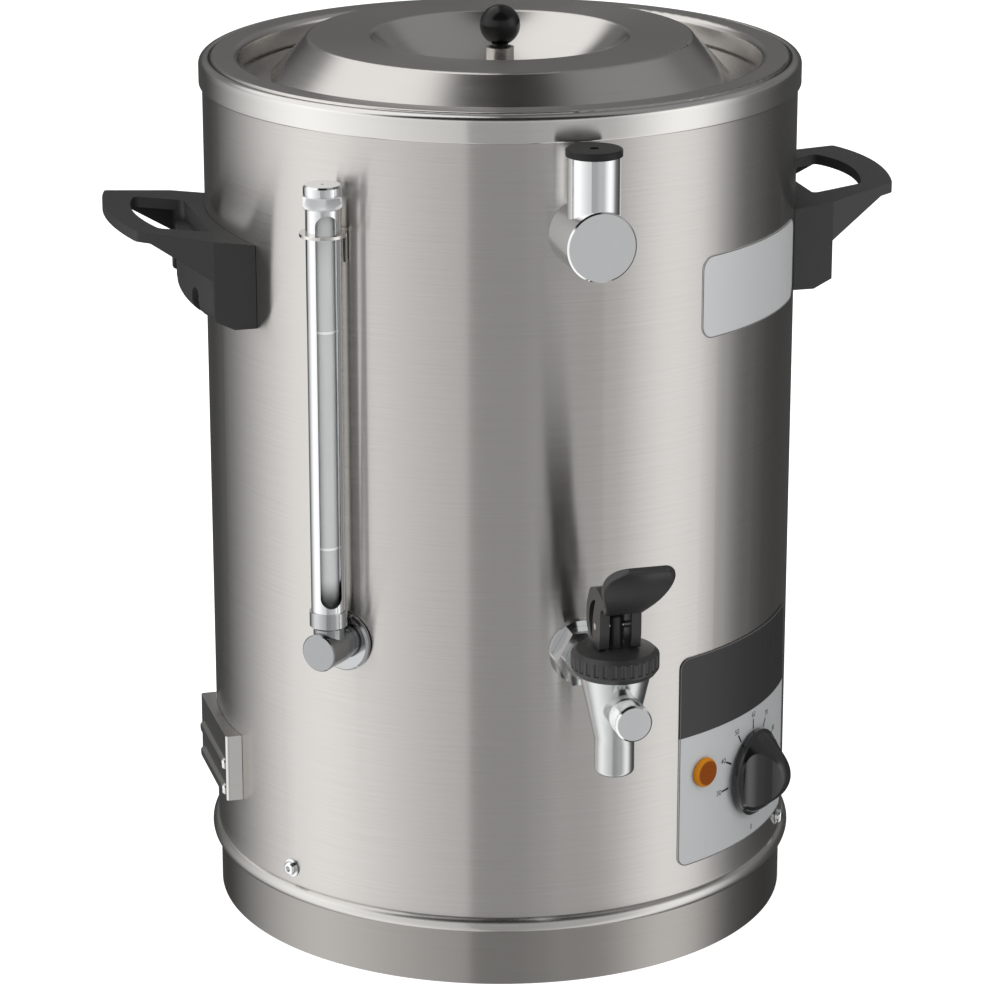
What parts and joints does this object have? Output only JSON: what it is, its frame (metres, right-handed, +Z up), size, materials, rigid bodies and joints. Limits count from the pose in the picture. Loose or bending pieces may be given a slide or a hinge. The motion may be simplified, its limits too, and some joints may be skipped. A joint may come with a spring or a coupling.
{
  "type": "jacketed hot drinks urn",
  "caption": "Upright steel urn with a lift-off dished lid, two side grips, lever tap, upright level gauge, vented filler elbow and a thermostat knob with lamp.",
  "frame": {"origin": "centre of the flat base, on the urn's upright axis, at table level", "axes": "+Z up along the urn's axis; -Y is the front, where the tap points; the two handles lie on the X axis"},
  "size_m": [0.364, 0.37, 0.4214],
  "materials": {
    "brushed_stainless": "upright cylinder with fine grain running round it",
    "satin_stainless": "satin pressed sheet",
    "polished_stainless": "polished",
    "plain_steel": "plain sheet",
    "chrome_plate": "bright mirror plating",
    "brass_plain": "machined",
    "zinc_steel": "zinc plated",
    "handle_plastic": "fine matte grain",
    "tap_plastic": "satin moulded",
    "knob_plastic": "glossy",
    "technical_plastic": "plain",
    "seal_rubber": "matte",
    "seat_silicone": "smooth",
    "gauge_glass": "clear",
    "foil_print": "printed metal foil, satin",
    "plate_foil": "bare satin foil",
    "amber_lens": "translucent amber"
  },
  "bodies": {
    "urn": {"plinth_ring": "polished_stainless", "base_pan": "plain_steel", "base_screws": "chrome_plate", "outer_shell": "brushed_stainless", "collar_ring": "polished_stainless", "pot_seal": "seal_rubber", "inner_pot": "satin_stainless", "pot_floor": "satin_stainless", "jacket_floor": "plain_steel", "heating_element": "plain_steel", "heater_nuts": "brass_plain", "thermal_cutout": "technical_plastic", "thermostat_body": "technical_plastic", "thermostat_capillary": "brass_plain", "thermostat_bulb": "brass_plain", "control_panel": "foil_print", "label_plate": "plate_foil", "lamp_lens": "amber_lens", "lamp_body": "technical_plastic", "handle_right": "handle_plastic", "handle_left": "handle_plastic", "handle_screws": "zinc_steel", "handle_nuts": "zinc_steel", "gauge_rosette": "chrome_plate", "gauge_body": "chrome_plate", "gauge_nut": "brass_plain", "gauge_seal": "seal_rubber", "gauge_ferrule": "chrome_plate", "sight_glass": "gauge_glass", "gauge_shield": "chrome_plate", "gauge_clip": "polished_stainless", "vent_body": "chrome_plate", "vent_nut": "brass_plain", "tap_body": "chrome_plate", "tap_flange": "chrome_plate", "tap_nut": "chrome_plate", "tap_sleeve": "satin_stainless", "tap_seals": "seat_silicone", "tap_lock_nut": "brass_plain", "tap_bonnet": "tap_plastic", "tap_spring": "zinc_steel", "side_cover": "polished_stainless", "cord_bush": "seal_rubber", "terminal_block": "technical_plastic"},
    "lid": {"lid_cover": "satin_stainless", "lid_post": "satin_stainless", "lid_knob": "knob_plastic", "lid_stud": "zinc_steel"},
    "tap_valve": {"tap_stem": "tap_plastic", "tap_seat_cup": "seat_silicone", "lever_pin": "chrome_plate"},
    "lever": {"tap_lever": "tap_plastic"},
    "knob": {"control_knob": "knob_plastic", "thermostat_spindle": "zinc_steel"},
    "filler_cap": {"vent_cap": "tap_plastic"},
    "gauge_plug": {"gauge_cap": "chrome_plate"},
    "flow_screw": {"thumb_screw": "chrome_plate"}
  },
  "joints": [
    {"name": "lid_lift", "type": "slide", "parent": "urn", "child": "lid", "axis": [0, 0, 1], "range_m": [0, 0.12]},
    {"name": "valve_lift", "type": "slide", "parent": "urn", "child": "tap_valve", "axis": [0, 0, 1], "range_m": [0, 0.003], "stiffness_N_per_m": 1000, "springref_m": -0.004, "deforming": ["tap_spring"]},
    {"name": "lever_tilt", "type": "hinge", "parent": "tap_valve", "child": "lever", "pos_m": [0, -0.1865, 0.189], "axis": [1, 0, 0], "range_deg": [0, 30]},
    {"name": "knob_turn", "type": "hinge", "parent": "urn", "child": "knob", "pos_m": [0, 0, 0.0776], "axis": [0.6934, -0.7206, 0], "range_deg": [0, 270]},
    {"name": "filler_cap_lift", "type": "slide", "parent": "urn", "child": "filler_cap", "axis": [0, 0, 1], "range_m": [0, 0.03]},
    {"name": "gauge_cap_lift", "type": "slide", "parent": "urn", "child": "gauge_plug", "axis": [0, 0, 1], "range_m": [0, 0.03]},
    {"name": "flow_screw_turn", "type": "hinge", "parent": "urn", "child": "flow_screw", "pos_m": [0, -0.1865, 0.1541], "axis": [0, -1, 0], "continuous": true}
  ],
  "couplings": [
    {"joint": "lever_tilt", "follows": "valve_lift", "rad_per_m": 174.5}
  ]
}
